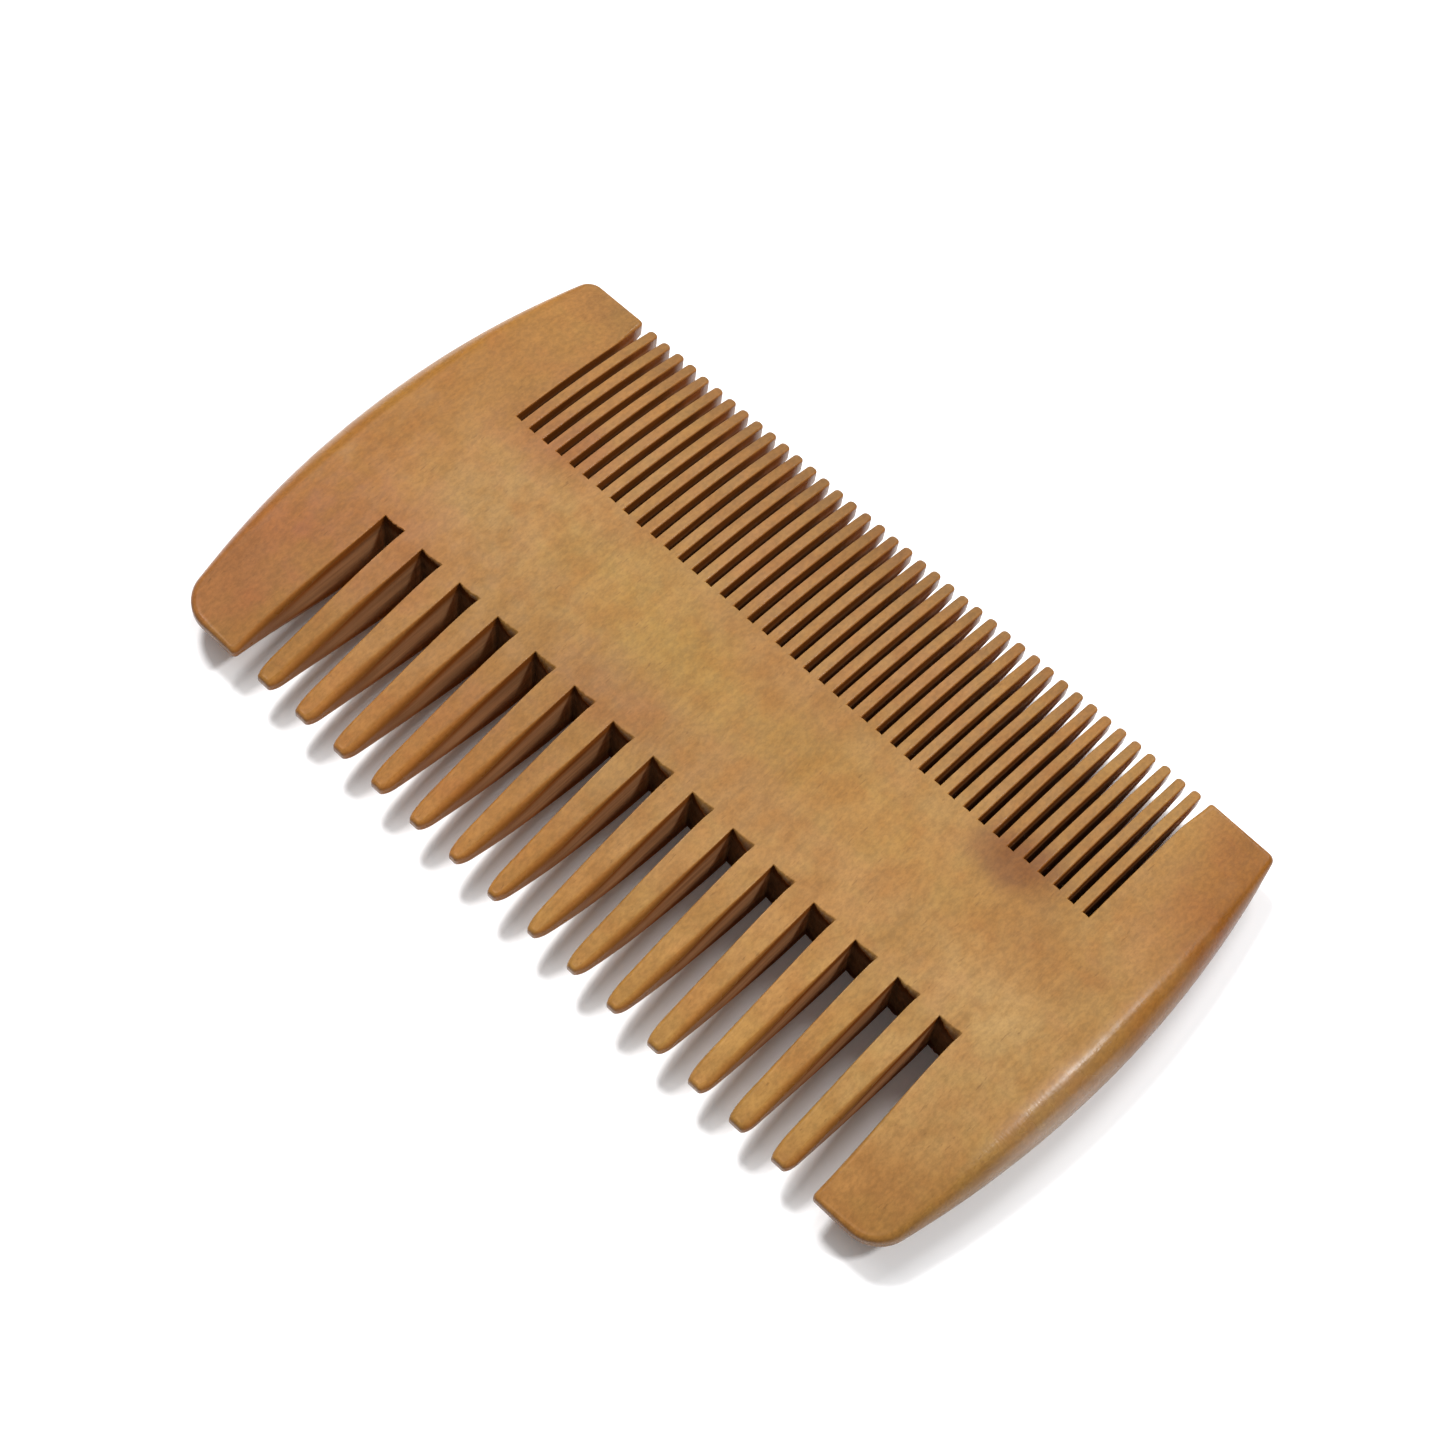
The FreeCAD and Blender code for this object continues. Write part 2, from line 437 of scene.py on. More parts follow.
def end_corner(side, apex_y, row_sign, radius):
    """
    The arc that rounds an end arc into the flat of a guard's tip.

    Returns its centre, the directions from the centre to where it meets the end arc and the flat, and
    its radius.
    """
    big_centre = Vector((side * (HALF_LENGTH - end_radius(side)), apex_y))
    centre_y = row_sign * (HALF_WIDTH - radius)
    reach = end_radius(side) - radius
    centre_x = big_centre.x + side * math.sqrt(reach ** 2 - (centre_y - apex_y) ** 2)
    centre = Vector((centre_x, centre_y))
    to_end = (centre - big_centre).normalized()
    return centre, to_end, Vector((0.0, row_sign)), radius


def add_end_corner(outline, centre, start, finish, radius):
    """Stations round a guard's outer corner."""
    start_angle = math.atan2(start.y, start.x)
    sweep = math.atan2(start.x * finish.y - start.y * finish.x, start.dot(finish))
    for step in range(CORNER_STEPS + 1):
        angle = start_angle + sweep * step / CORNER_STEPS
        out = Vector((math.cos(angle), math.sin(angle)))
        point = centre + out * radius
        face = point - out * corner_inset(point.y, radius)
        outline.add(tuple(point), tuple(face), end_wall(point.y), end_fullness(point.y))


def add_end(outline, side, apex_y, start_y, finish_y):
    """Stations along an end arc, between its two corners, ends left out."""
    centre = Vector((side * (HALF_LENGTH - end_radius(side)), apex_y))
    for step in range(1, END_ARC_STEPS):
        y = start_y + (finish_y - start_y) * step / END_ARC_STEPS
        point = Vector((end_x(side, apex_y, y), y))
        out = (point - centre).normalized()
        face = point - out * end_inset(y)
        outline.add(tuple(point), tuple(face), end_wall(y), end_fullness(y))


def add_guard_flat(outline, last, first):
    """Stations along the flat of a guard's tip, between the stations at its two ends."""
    for step in range(1, GUARD_FLAT_STEPS):
        t = step / GUARD_FLAT_STEPS
        edge = tuple(a + (b - a) * t for a, b in zip(last[0], first[0]))
        face = tuple(a + (b - a) * t for a, b in zip(last[1], first[1]))
        outline.add(edge, face, last[2] + (first[2] - last[2]) * t)


def add_row(outline, row, start_corner, finish_corner):
    """Stations along one long side: guard, slots and teeth, guard. The corners come from end_corner."""
    centre, to_end, to_flat, radius = start_corner
    add_end_corner(outline, centre, to_end, to_flat, radius)
    last = (outline.edge[-1], outline.face[-1], outline.wall[-1])
    wall = guard_flank(row, -1, row.guard_slot_corners[0], row.slot_left(0))
    add_guard_flat(outline, last, wall[-1])
    for station in reversed(wall):
        outline.add(*station)
    for slot in range(row.teeth + 1):
        for station in slot_root(row, slot):
            outline.add(*station)
        if slot == row.teeth:
            break
        left = flank(row, slot, -1)
        right = flank(row, slot, 1)
        for station in left + tooth_tip(row, slot, left[-1], right[-1]) + right[::-1]:
            outline.add(*station)
    wall = guard_flank(row, 1, row.guard_slot_corners[1], row.slot_right(row.teeth))
    for station in wall:
        outline.add(*station)
    centre, to_end, to_flat, radius = finish_corner
    point = centre + to_flat * radius
    first = (tuple(point), tuple(point - to_flat * corner_inset(point.y, radius)), end_wall(point.y))
    add_guard_flat(outline, wall[-1], first)
    add_end_corner(outline, centre, to_flat, to_end, radius)


def corner_meets_end(corner):
    """y where a guard's outer corner meets the end arc."""
    centre, to_end, _, radius = corner
    return (centre + to_end * radius).y


def comb_outline():
    """Both long sides and both ends, in order round the comb."""
    wide = wide_row()
    fine = fine_row()
    add_wear(wide, root_amount=0.08, tip_amount=0.12, sway_amount=0.05, rag=0.06)
    add_wear(fine, root_amount=0.10, tip_amount=0.15, sway_amount=0.05, rag=0.0)
    wide_left = end_corner(-1, LEFT_APEX_Y, -1, wide.guard_outer_corners[0])
    wide_right = end_corner(1, RIGHT_APEX_Y, -1, wide.guard_outer_corners[1])
    fine_right = end_corner(1, RIGHT_APEX_Y, 1, fine.guard_outer_corners[0])
    fine_left = end_corner(-1, LEFT_APEX_Y, 1, fine.guard_outer_corners[1])
    outline = Outline()
    add_row(outline, wide, wide_left, wide_right)
    add_end(outline, 1, RIGHT_APEX_Y, outline.edge[-1][1], corner_meets_end(fine_right))
    add_row(outline, fine, fine_right, fine_left)
    add_end(outline, -1, LEFT_APEX_Y, outline.edge[-1][1], corner_meets_end(wide_left))
    return outline


def inner_points(ring):
    """Points of a plain grid that lie inside a closed ring and clear of it."""
    xs = np.arange(-HALF_LENGTH, HALF_LENGTH, GRID_SPACING)
    ys = np.arange(-HALF_WIDTH, HALF_WIDTH, GRID_SPACING)
    grid = np.array([(x, y) for x in xs for y in ys])
    inside = np.zeros(len(grid), bool)
    nearest = np.full(len(grid), np.inf)
    for a, b in zip(ring, np.roll(ring, -1, axis=0)):
        crosses = (a[1] > grid[:, 1]) != (b[1] > grid[:, 1])
        slope = (b[0] - a[0]) / (b[1] - a[1]) if b[1] != a[1] else 0.0
        inside ^= crosses & (grid[:, 0] < a[0] + slope * (grid[:, 1] - a[1]))
        span = b - a
        t = np.clip(((grid - a) @ span) / (span @ span), 0, 1)
        nearest = np.minimum(nearest, np.linalg.norm(grid - a - t[:, None] * span, axis=1))
    return grid[inside & (nearest > GRID_CLEARANCE)]


def edge_rings(outline):
    """
    Rings of points round the outline, from the upper face over the edge to the lower face.

    Returns the rings, how far over the edge each of them is, from 0 on a face to 1 on the wall, and
    the plan of the first ring.
    """
    edge = np.array(outline.edge)
    face = np.array(outline.face)
    wall = np.array(outline.wall)
    top = face_height(face[:, 1])
    # A narrow band just inside the rounding keeps the shading of the faces clean.
    inward = face - edge
    length = np.linalg.norm(inward, axis=1)
    band = face + inward / length[:, None] * (BAND_WIDTH + BAND_SHARE * length)[:, None]
    rings = [np.column_stack([band, face_height(band[:, 1])])]
    over_edge = [0.0]
    for step in range(ROUNDING_STEPS + 1):
        angle = math.pi / 2 * (1 - step / ROUNDING_STEPS)
        over = 1 - abs(math.cos(angle)) ** (2 / np.array(outline.fullness))
        plan = edge + (face - edge) * over[:, None]
        rings.append(np.column_stack([plan, wall + (top - wall) * math.sin(angle)]))
        over_edge.append(step / ROUNDING_STEPS)
    upper_rings = list(rings)
    upper_worn = list(over_edge)
    for step in range(1, WALL_STEPS):
        rings.append(np.column_stack([edge, wall * (1 - 2 * step / WALL_STEPS)]))
        over_edge.append(1.0)
    for ring, amount in zip(reversed(upper_rings), reversed(upper_worn)):
        rings.append(ring * np.array([1, 1, -1]))
        over_edge.append(amount)
    return rings, over_edge, band


def join_rings(rings):
    """The faces between each ring of points and the next."""
    count = len(rings[0])
    faces = []
    for level in range(len(rings) - 1):
        upper = level * count
        lower = upper + count
        for k in range(count):
            after = (k + 1) % count
            faces.append((upper + k, lower + k, lower + after, upper + after))
    return faces


def fill_triangles(ring, extra):
    """Triangles that fill a closed ring, through the extra points inside it. The ring's points come first."""
    plan = [Vector(point) for point in ring] + [Vector(point) for point in extra]
    border = [list(range(len(ring)))]
    inside_only = 1
    tolerance = 1e-7
    made = geometry.delaunay_2d_cdt(plan, [], border, inside_only, tolerance)
    triangles = made[2]
    sources = made[3]
    if any(not found for found in sources):
        raise ValueError("the face fill made a point that isn't on the outline")
    return [[sources[corner][0] for corner in triangle] for triangle in triangles]


def store(mesh, name, values):
    """Keep one number for each point, for the materials to read."""
    attribute = mesh.attributes.new(name, "FLOAT", "POINT")
    attribute.data.foreach_set("value", values.astype(np.float32))


def build_comb_mesh():
    """The whole comb as one closed mesh: rings round the edges and walls, then both faces filled in."""
    outline = comb_outline()
    rings, over_edge, band = edge_rings(outline)
    count = len(band)
    extra = inner_points(band)
    heights = face_height(extra[:, 1])
    points = np.vstack(rings + [np.column_stack([extra, heights]), np.column_stack([extra, -heights])])
    last_ring = (len(rings) - 1) * count
    first_extra = len(rings) * count
    faces = join_rings(rings)
    for corners in fill_triangles(band, extra):
        upper = [c if c < count else first_extra + c - count for c in corners]
        lower = [last_ring + c if c < count else first_extra + len(extra) + c - count for c in corners]
        faces.append(tuple(upper))
        faces.append(tuple(reversed(lower)))
    mesh = bpy.data.meshes.new("comb_body")
    mesh.from_pydata([tuple(point) for point in points * MM], [], faces)
    flat = np.zeros(2 * len(extra))
    sawn = np.array(outline.sawn)
    store(mesh, "over_the_edge", np.concatenate([np.full(count, amount) for amount in over_edge] + [flat]))
    # Above 1 this darkens the kerfs and end walls, as painted shade
    store(mesh, "sawn_wall_and_shade", np.concatenate([sawn * (amount >= 1.0) for amount in over_edge] + [flat]))
    store(mesh, "depth", face_height(points[:, 1]) - np.abs(points[:, 2]))
    mesh.validate()
    mesh.update()
    mesh.shade_smooth()
    return mesh


class Shading:
    """Short names for the shader nodes that the materials use."""

    def __init__(self, name):
        self.material = bpy.data.materials.new(name)
        self.material.use_nodes = True
        self.tree = self.material.node_tree
        self.surface = self.tree.nodes["Principled BSDF"]

    def node(self, kind, **settings):
        made = self.tree.nodes.new(kind)
        for key, value in settings.items():
            setattr(made, key, value)
        return made

    def feed(self, socket, value):
        """Link a socket to another node's output, or set it to a plain value."""
        if isinstance(value, bpy.types.NodeSocket):
            self.tree.links.new(value, socket)
        else:
            socket.default_value = value

    def attribute(self, name):
        """A number that the mesh stores for each point."""
        return self.node("ShaderNodeAttribute", attribute_name=name).outputs["Fac"]

    def math(self, operation, a, b=0.0):
        made = self.node("ShaderNodeMath", operation=operation)
        self.feed(made.inputs[0], a)
        self.feed(made.inputs[1], b)
        return made.outputs[0]

    def vector(self, operation, a, b):
        made = self.node("ShaderNodeVectorMath", operation=operation)
        self.feed(made.inputs[0], a)
        self.feed(made.inputs[1], b)
        return made.outputs["Vector"]

    def length(self, value):
        made = self.node("ShaderNodeVectorMath", operation="LENGTH")
        self.feed(made.inputs[0], value)
        return made.outputs["Value"]

    def axis(self, value, letter):
        """One component of a vector."""
        made = self.node("ShaderNodeSeparateXYZ")
        self.feed(made.inputs[0], value)
        return made.outputs[letter]

    def millimetres(self):
        """Position on the object in millimetres."""
        place = self.node("ShaderNodeTexCoord").outputs["Object"]
        return self.vector("MULTIPLY", place, (1 / MM, 1 / MM, 1 / MM))

    def noise(self, place, stretch, detail=2.0, roughness=0.5):
        """Noise from 0 to 1. stretch is how many waves there are in a millimetre along X, Y and Z."""
        made = self.node("ShaderNodeTexNoise")
        self.feed(made.inputs["Vector"], self.vector("MULTIPLY", place, stretch))
        made.inputs["Scale"].default_value = 1.0
        made.inputs["Detail"].default_value = detail
        made.inputs["Roughness"].default_value = roughness
        return made.outputs["Fac"]

    def step(self, value, low, high, start=0.0, finish=1.0):
        """Eases from start to finish as the value goes from low to high."""
        made = self.node("ShaderNodeMapRange", interpolation_type="SMOOTHSTEP")
        self.feed(made.inputs["Value"], value)
        made.inputs["From Min"].default_value = low
        made.inputs["From Max"].default_value = high
        made.inputs["To Min"].default_value = start
        made.inputs["To Max"].default_value = finish
        return made.outputs["Result"]

    def mix(self, factor, a, b, blend="MIX"):
        """From colour a to colour b, or to their product if blend is MULTIPLY."""
        made = self.node("ShaderNodeMix", data_type="RGBA", blend_type=blend)
        factor_socket = made.inputs[0]
        first_colour = made.inputs[6]
        second_colour = made.inputs[7]
        self.feed(factor_socket, factor)
        self.feed(first_colour, a if isinstance(a, bpy.types.NodeSocket) else (*a, 1.0))
        self.feed(second_colour, b if isinstance(b, bpy.types.NodeSocket) else (*b, 1.0))
        mixed_colour = made.outputs[2]
        return mixed_colour

    def grey(self, value):
        """A number as a colour."""
        made = self.node("ShaderNodeCombineColor")
        for socket in made.inputs:
            self.feed(socket, value)
        return made.outputs["Color"]

    def times(self, colour, amount):
        """A colour times a number."""
        return self.mix(1.0, colour, self.grey(amount), "MULTIPLY")


# Colours of the wood as linear red, green and blue
HEARTWOOD = (0.224, 0.112, 0.026)
PALE_WOOD = (0.254, 0.135, 0.036)
WARM_WOOD = (0.210, 0.090, 0.018)
BLUSH_TINT = (1.02, 0.955, 0.98)
PORE = (0.105, 0.042, 0.010)
# Darker brown over the edges: partly handling wear, partly painted shade
BURNISH_AND_SHADE = (0.105, 0.038, 0.008)
# Painted shade, warmer and darker, on the flanks that face right, away from the key lamp
SHADED_FLANK_TINT = (0.270, 0.086, 0.012)
SAWN_EDGE = (0.235, 0.072, 0.012)
SAWN_RAW = (0.375, 0.195, 0.090)

# How many waves each noise has in a millimetre along X, Y and Z. The grain runs along Y.
CLOUD_WAVES = (0.07, 0.035, 0.07)
MOTTLE_WAVES = (0.34, 0.26, 0.34)
BLUSH_WAVES = (0.13, 0.17, 0.13)
FLECK_WAVES = (2.7, 1.5, 2.7)
STREAK_WAVES = (1.1, 0.06, 1.1)
PORE_WAVES = (4.6, 0.75, 4.6)
PORE_CLUSTER_WAVES = (0.45, 0.3, 0.45)
GRAIN_WAVES = (3.6, 0.55, 3.6)
SAW_MARK_WAVES = (0.3, 2.6, 0.12)
SANDING_WAVES = (0.9, 4.0, 0.9)

# Patches of a different tone: middle in mm, reach in mm, tint, and how strong the tint is. Most are the
# wood's own tone; those marked below are painted sheen and painted light.
TONE_AND_PAINTED_LIGHT_PATCHES = (
    ((-53.0, 0.0), (17.0, 42.0), (0.96, 0.82, 0.58), 1.0),
    ((-50.0, -24.0), (11.0, 17.0), (0.95, 0.76, 0.95), 0.9),
    ((-39.0, -12.0), (11.0, 9.0), (0.90, 0.72, 0.66), 0.9),
    ((-35.0, 11.0), (9.0, 6.0), (0.84, 0.66, 0.62), 0.9),
    ((32.0, 9.0), (7.0, 4.8), (0.62, 0.46, 0.36), 1.0),
    ((38.0, 2.0), (9.0, 6.0), (0.94, 0.82, 0.74), 0.7),
    ((50.0, 26.0), (9.0, 18.0), (0.77, 0.58, 0.34), 1.0),
    ((54.0, 14.0), (5.0, 26.0), (0.86, 0.68, 0.46), 1.0),
    ((44.0, -30.0), (12.0, 9.0), (0.97, 0.87, 0.82), 0.7),
    ((-9.0, -7.0), (12.0, 5.0), (0.94, 0.86, 0.98), 0.8),
    ((-22.0, -24.0), (26.0, 17.0), (1.04, 0.90, 0.92), 0.8),
    ((20.0, -16.0), (18.0, 13.0), (1.08, 1.07, 1.08), 1.0),
    # Painted sheen, whitish: this patch and the next, on the right of the wide half
    ((30.0, -20.0), (16.0, 12.0), (1.10, 1.12, 1.14), 1.0),
    ((40.0, -12.0), (11.0, 16.0), (1.07, 1.14, 1.28), 1.0),
    ((-15.0, 2.0), (16.0, 9.0), (1.04, 1.11, 1.04), 0.9),
    ((6.0, 2.0), (40.0, 5.5), (1.02, 1.03, 0.84), 0.9),
    # Painted sheen, whitish, on the right of the wide half
    ((36.0, -4.0), (10.0, 6.0), (1.11, 1.15, 1.30), 1.0),
    # Painted light along the wide tips, whose faces slope away from the lamps
    ((0.0, -27.0), (48.0, 9.0), (1.18, 1.15, 1.13), 1.0),
    ((-10.0, 23.0), (30.0, 9.0), (0.90, 0.87, 0.83), 1.0),
    ((-8.0, 31.0), (60.0, 9.0), (0.70, 0.65, 0.67), 1.0),
    ((0.0, 17.0), (60.0, 9.0), (0.92, 0.86, 0.93), 0.8),
)

# The part of the right rim that hands have polished: middle and reach in mm
POLISHED_MIDDLE = (49.5, -8.0)
POLISHED_REACH = (9.0, 11.0)

# How much of each tone shows at most, painted shade included
WARM_WOOD_SHARE = 0.45
FLANK_SHADE_SHARE = 0.55
BURNISH_AND_SHADE_SHARE = 0.7
SPARSE_PORE_SHARE = 0.05
DENSE_PORE_SHARE = 0.38

# How far the fleck and the streaks lighten and darken the faces
FLECK_RANGE = 0.13
STREAK_RANGE = 0.07

# The painted shade on flanks that face right ends between these distances from the comb's middle, before its
# two ends.
FLANK_SHADE_FULL = 42.0
FLANK_SHADE_END = 47.0

# The sawn walls are brown down to the first depth below a face, and raw beyond the second.
BROWN_DEPTH = 0.9
RAW_DEPTH = 2.2

# The fine relief: its full height in mm, and the weight of each part of it
RELIEF_HEIGHT = 0.018
GRAIN_WEIGHT = 0.5
PORE_WEIGHT = 0.7
SAW_MARK_WEIGHT = 2.0
SANDING_WEIGHT = 1.7

# The finish
SMOOTHEST_FACE = 0.50
ROUGHEST_FACE = 0.60
HANDLED_SMOOTHING = 0.27
SAWN_ROUGHENING = 0.45
FACE_SPECULAR = 0.17
HANDLED_SPECULAR = 0.03
POLISHED_SPECULAR = 0.45
SAWN_DULLING = 0.9


def patch_mask(shading, place, middle, reach, ragged):
    """1 in the middle of an elliptical patch in plan, easing to 0 at its edge."""
    away = shading.vector("SUBTRACT", place, (*middle, 0.0))
    away = shading.vector("MULTIPLY", away, (1 / reach[0], 1 / reach[1], 0.0))
    distance = shading.math("ADD", shading.length(away), ragged)
    return shading.step(distance, 0.25, 1.1, start=1.0, finish=0.0)


def face_colour(shading, place, mottle, ragged, fleck, streak, pores):
    """The colour of the polished faces, with painted sheen and painted light in some of its tone patches."""
    clouds = shading.noise(place, CLOUD_WAVES, 2.0)
    blush = shading.noise(place, BLUSH_WAVES, 3.0, 0.6)
    colour = shading.mix(shading.step(clouds, 0.32, 0.68), HEARTWOOD, PALE_WOOD)
    colour = shading.mix(shading.step(mottle, 0.35, 0.75, finish=WARM_WOOD_SHARE), colour, WARM_WOOD)
    for middle, reach, tint, strength in TONE_AND_PAINTED_LIGHT_PATCHES:
        mask = patch_mask(shading, place, middle, reach, ragged)
        tinted = shading.mix(1.0, colour, tint, "MULTIPLY")
        colour = shading.mix(shading.math("MULTIPLY", mask, strength), colour, tinted)
    colour = shading.times(colour, shading.step(fleck, 0.28, 0.72, 1 - FLECK_RANGE, 1 + FLECK_RANGE))
    colour = shading.times(colour, shading.step(streak, 0.25, 0.75, 1 - STREAK_RANGE, 1 + STREAK_RANGE))
    flushed = shading.mix(1.0, colour, BLUSH_TINT, "MULTIPLY")
    colour = shading.mix(shading.step(blush, 0.42, 0.62), colour, flushed)
    return shading.mix(pores, colour, PORE)


def edge_colour(shading, place, colour, over_edge):
    """
    The faces' colour, changed over the edges, where handling has browned the wood and painted shade darkens
    it.

    The browning and painted shade are strongest on the edges that face neither left nor right, weaker on
    those that face right, and faint on those that face left, towards the key lamp, which stay light. The
    flanks that face right also get a warmer, darker painted shade, except on the two ends.
    """
    towards_right = shading.axis(shading.node("ShaderNodeTexCoord").outputs["Normal"], "X")
    from_middle = shading.math("ABSOLUTE", shading.axis(place, "X"))
    # Painted shade on the flanks that face right
    flank_shade = shading.step(towards_right, 0.05, 0.75, finish=FLANK_SHADE_SHARE)
    before_ends = shading.step(from_middle, FLANK_SHADE_FULL, FLANK_SHADE_END, start=1.0, finish=0.0)
    flank_shade = shading.math("MULTIPLY", flank_shade, before_ends)
    flank_shade = shading.math("MULTIPLY", flank_shade, shading.step(over_edge, 0.0, 0.3))
    # Handling wear and painted shade over the edges, faint where they face left, which leaves them light
    burnish_and_shade = shading.step(over_edge, 0.35, 1.0, finish=BURNISH_AND_SHADE_SHARE)
    burnish_and_shade = shading.math("MULTIPLY", burnish_and_shade, shading.step(towards_right, -0.7, -0.1, start=0.15))
    fading = shading.step(towards_right, 0.2, 0.8, start=1.0, finish=0.35)
    burnish_and_shade = shading.math("MULTIPLY", burnish_and_shade, fading)
    colour = shading.mix(flank_shade, colour, SHADED_FLANK_TINT)
    return shading.mix(burnish_and_shade, colour, BURNISH_AND_SHADE)


def sawn_colour(shading, sawn_wall_and_shade, streak):
    """Colour in the slots: brown by the faces, raw further in, painted shade in the kerfs, end grain and
    painted shade on end walls.
    """
    inside = shading.step(shading.attribute("depth"), BROWN_DEPTH, RAW_DEPTH)
    raw = shading.mix(inside, SAWN_EDGE, SAWN_RAW)
    raw = shading.times(raw, shading.step(streak, 0.2, 0.8, start=0.7, finish=1.25))
    # Painted shade in the kerfs, and end grain with painted shade on the end walls
    return shading.times(raw, shading.step(sawn_wall_and_shade, 1.2, 1.9, start=1.0, finish=0.35))


def wood_relief(shading, place, fleck, pores, sawn, handled):
    """The fine relief: grain, fleck and pores on the faces, saw marks in the slots, sanding on the edges."""
    grain = shading.noise(place, GRAIN_WAVES, 2.0, 0.6)
    saw_marks = shading.noise(place, SAW_MARK_WAVES, 2.0, 0.6)
    sanding = shading.noise(place, SANDING_WAVES, 3.0, 0.65)
    relief = shading.math("MULTIPLY", shading.math("ADD", grain, fleck), GRAIN_WEIGHT)
    relief = shading.math("SUBTRACT", relief, shading.math("MULTIPLY", pores, PORE_WEIGHT))
    marked = shading.math("MULTIPLY", saw_marks, sawn)
    relief = shading.math("ADD", relief, shading.math("MULTIPLY", marked, SAW_MARK_WEIGHT))
    sanded = shading.math("MULTIPLY", sanding, handled)
    relief = shading.math("ADD", relief, shading.math("MULTIPLY", sanded, SANDING_WEIGHT))
    bump = shading.node("ShaderNodeBump")
    bump.inputs["Strength"].default_value = 1.0
    bump.inputs["Distance"].default_value = RELIEF_HEIGHT * MM
    shading.feed(bump.inputs["Height"], relief)
    return bump.outputs["Normal"]


def wood_roughness(shading, mottle, sawn, handled):
    """Satin on the faces, smoother on the handled edges, and rough where sawn."""
    roughness = shading.step(mottle, 0.3, 0.7, SMOOTHEST_FACE, ROUGHEST_FACE)
    smoothing = shading.math("MULTIPLY", handled, HANDLED_SMOOTHING)
    roughness = shading.math("SUBTRACT", roughness, smoothing)
    return shading.math("ADD", roughness, shading.math("MULTIPLY", sawn, SAWN_ROUGHENING))


def wood_specular(shading, place, ragged, sawn, handled):
    """A faint wax sheen, a little more on the handled edges, most on the polished rim, little where sawn."""
    polished = patch_mask(shading, place, POLISHED_MIDDLE, POLISHED_REACH, ragged)
    polish = shading.math("MULTIPLY", polished, POLISHED_SPECULAR)
    polish = shading.math("ADD", HANDLED_SPECULAR, polish)
    specular = shading.math("ADD", FACE_SPECULAR, shading.math("MULTIPLY", handled, polish))
    unsawn = shading.math("SUBTRACT", 1.0, shading.math("MULTIPLY", sawn, SAWN_DULLING))
    return shading.math("MULTIPLY", specular, unsawn)


def wood():
    """Close-grained wood, grain along the teeth, lightly waxed on the faces, raw in the slots, with some
    painted sheen and shade.
    """
    shading = Shading("comb_wood")
    place = shading.millimetres()
    mottle = shading.noise(place, MOTTLE_WAVES, 2.0, 0.6)
    ragged = shading.math("MULTIPLY", shading.math("SUBTRACT", mottle, 0.5), 0.7)
    fleck = shading.noise(place, FLECK_WAVES, 3.0, 0.65)
    streak = shading.noise(place, STREAK_WAVES, 3.0, 0.6)
    pores = shading.step(shading.noise(place, PORE_WAVES, 1.0), 0.66, 0.74)
    clusters = shading.noise(place, PORE_CLUSTER_WAVES, 1.0)
    clusters = shading.step(clusters, 0.45, 0.65, SPARSE_PORE_SHARE, DENSE_PORE_SHARE)
    pores = shading.math("MULTIPLY", pores, clusters)
    over_edge = shading.attribute("over_the_edge")
    handled = shading.step(over_edge, 0.02, 0.3)
    sawn_wall_and_shade = shading.attribute("sawn_wall_and_shade")
    sawn = shading.step(sawn_wall_and_shade, 0.0, 0.6)

    colour = face_colour(shading, place, mottle, ragged, fleck, streak, pores)
    colour = edge_colour(shading, place, colour, over_edge)
    colour = shading.mix(sawn, colour, sawn_colour(shading, sawn_wall_and_shade, streak))
    inputs = shading.surface.inputs
    shading.feed(inputs["Base Color"], colour)
    shading.feed(inputs["Roughness"], wood_roughness(shading, mottle, sawn, handled))
    shading.feed(inputs["Specular IOR Level"], wood_specular(shading, place, ragged, sawn, handled))
    shading.feed(inputs["Normal"], wood_relief(shading, place, fleck, pores, sawn, handled))
    return shading.material


def make_object(name, mesh, material):
    piece = bpy.data.objects.new(name, mesh)
    bpy.context.scene.collection.objects.link(piece)
    piece.data.materials.append(material)
    return piece


# The floor: how far under the comb it is, so that no two faces coincide, and how far it runs each way
FLOOR_GAP = 0.02
FLOOR_REACH = 1500.0
FLOOR_COLOUR = (0.88, 0.88, 0.89, 1.0)
# Its own glow, beside and past the tips by distance from the comb's middle line, and far from the comb.
# Past the tips the glow is painted light that lightens the comb's shadows.
TIPS_LIGHT_START = 27.5
TIPS_LIGHT_FULL = 33.0
BESIDE_TIPS_LIGHT = 0.02
PAST_TIPS_LIGHT = 0.24
FAR_LIGHT_START = 250.0
FAR_LIGHT_FULL = 600.0


def floor():
    """A plain pale floor, just clear of the comb, glowing beyond the tips as painted light on the shadows,
    and far away.
    """
    low = -FLOOR_REACH * MM
    high = FLOOR_REACH * MM
    z = -(HALF_THICKNESS + FLOOR_GAP) * MM
    mesh = bpy.data.meshes.new("floor")
    corners = [(low, low, z), (high, low, z), (high, high, z), (low, high, z)]
    mesh.from_pydata(corners, [], [(0, 1, 2, 3)])
    shading = Shading("floor_white")
    place = shading.millimetres()
    from_middle = shading.math("ABSOLUTE", shading.axis(place, "Y"))
    past_tips = shading.step(
        from_middle, TIPS_LIGHT_START, TIPS_LIGHT_FULL, BESIDE_TIPS_LIGHT, PAST_TIPS_LIGHT
    )
    far_away = shading.step(shading.length(place), FAR_LIGHT_START, FAR_LIGHT_FULL)
    inputs = shading.surface.inputs
    inputs["Base Color"].default_value = FLOOR_COLOUR
    inputs["Roughness"].default_value = 0.9
    inputs["Specular IOR Level"].default_value = 0.0
    inputs["Emission Color"].default_value = (1.0, 1.0, 1.0, 1.0)
    shading.feed(inputs["Emission Strength"], shading.math("MAXIMUM", past_tips, far_away))
    make_object("floor", mesh, shading.material)


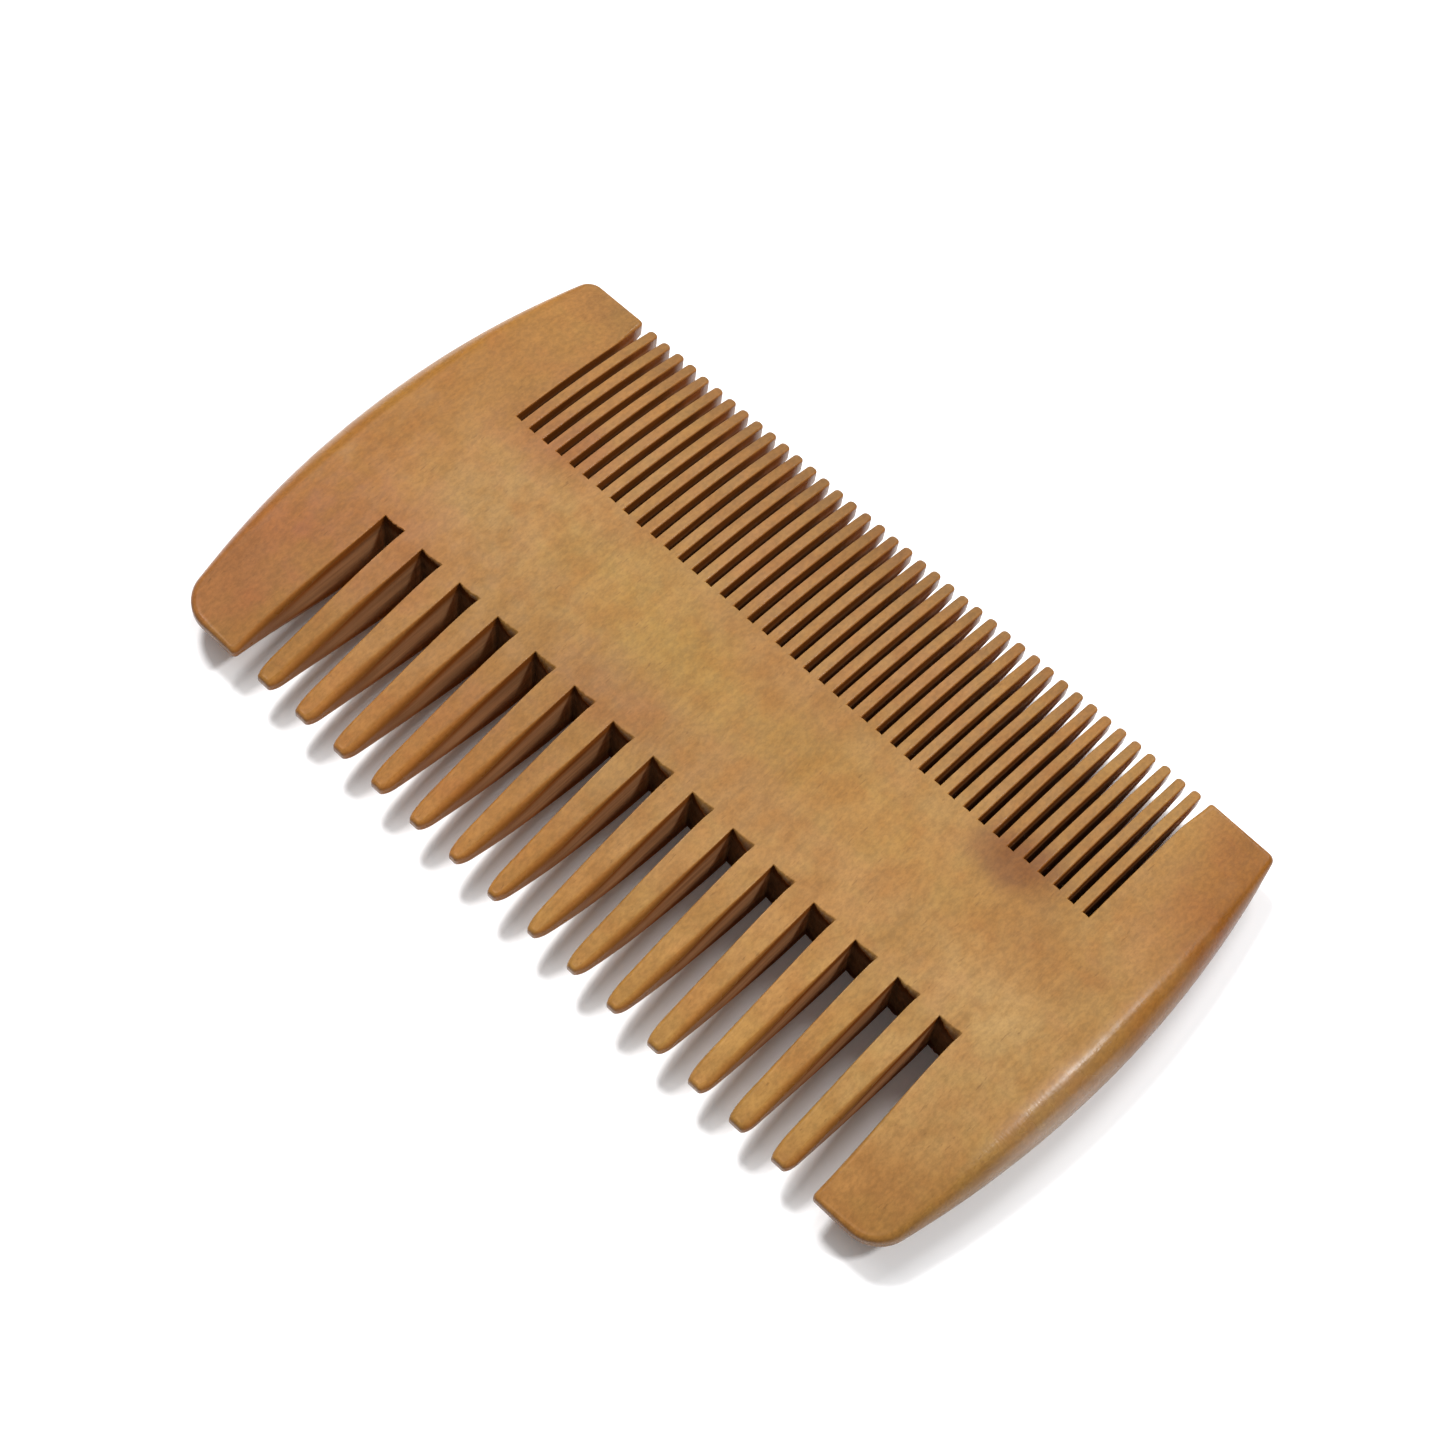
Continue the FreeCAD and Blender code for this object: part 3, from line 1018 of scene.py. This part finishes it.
def camera():
    """From the right and above, over the wide teeth, and turned a little about its own axis."""
    azimuth = math.radians(34.881)
    elevation = math.radians(63.048)
    roll = math.radians(9.745)
    distance = 291.47
    target = Vector((-0.665, 0.775, 0.0))
    back = Vector((
        math.sin(azimuth) * math.cos(elevation),
        -math.cos(azimuth) * math.cos(elevation),
        math.sin(elevation),
    ))
    level_right = (-back).cross(Vector((0, 0, 1))).normalized()
    level_up = level_right.cross(-back)
    right = level_right * math.cos(roll) + level_up * math.sin(roll)
    up = level_up * math.cos(roll) - level_right * math.sin(roll)
    data = bpy.data.cameras.new("camera")
    data.sensor_width = 36.0
    data.lens = 70.51
    data.clip_start = 0.01
    data.clip_end = 10.0
    view = bpy.data.objects.new("camera", data)
    bpy.context.scene.collection.objects.link(view)
    turn = Matrix((right, up, back)).transposed().to_4x4()
    view.matrix_world = Matrix.Translation((target + back * distance) * MM) @ turn
    bpy.context.scene.camera = view


# The studio: round soft lamps at this distance, in metres, and an even fill from all round
LAMP_DISTANCE = 1.2
FILL_STRENGTH = 0.27


def lamp(name, direction, size, watts):
    """A white round lamp of a given width in metres, aimed at the comb."""
    data = bpy.data.lights.new(name, "AREA")
    data.shape = "DISK"
    data.size = size
    data.energy = watts
    light = bpy.data.objects.new(name, data)
    bpy.context.scene.collection.objects.link(light)
    towards = Vector(direction).normalized()
    light.location = towards * LAMP_DISTANCE
    light.rotation_mode = "QUATERNION"
    light.rotation_quaternion = towards.to_track_quat("Z", "Y")


def surroundings():
    """An even white world, which the camera sees at full strength and the comb as a weak fill."""
    world = bpy.data.worlds.new("studio")
    bpy.context.scene.world = world
    world.use_nodes = True
    tree = world.node_tree
    background = tree.nodes["Background"]
    background.inputs["Color"].default_value = (1.0, 1.0, 1.0, 1.0)
    seen = tree.nodes.new("ShaderNodeLightPath").outputs["Is Camera Ray"]
    strength = tree.nodes.new("ShaderNodeMath")
    strength.operation = "MAXIMUM"
    strength.inputs[1].default_value = FILL_STRENGTH
    tree.links.new(seen, strength.inputs[0])
    tree.links.new(strength.outputs[0], background.inputs["Strength"])


def lights():
    lamp("key", (-0.50, 0.22, 0.84), 0.28, 13.8)
    lamp("side", (0.43, 0.39, 0.81), 0.18, 7.4)
    lamp("back", (-0.12, 0.66, 0.74), 0.4, 7.0)
    surroundings()


body = make_object("comb_body", build_comb_mesh(), wood())
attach(body, "root")
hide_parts("comb")
floor()
camera()
lights()
bpy.context.scene.view_settings.view_transform = "Standard"
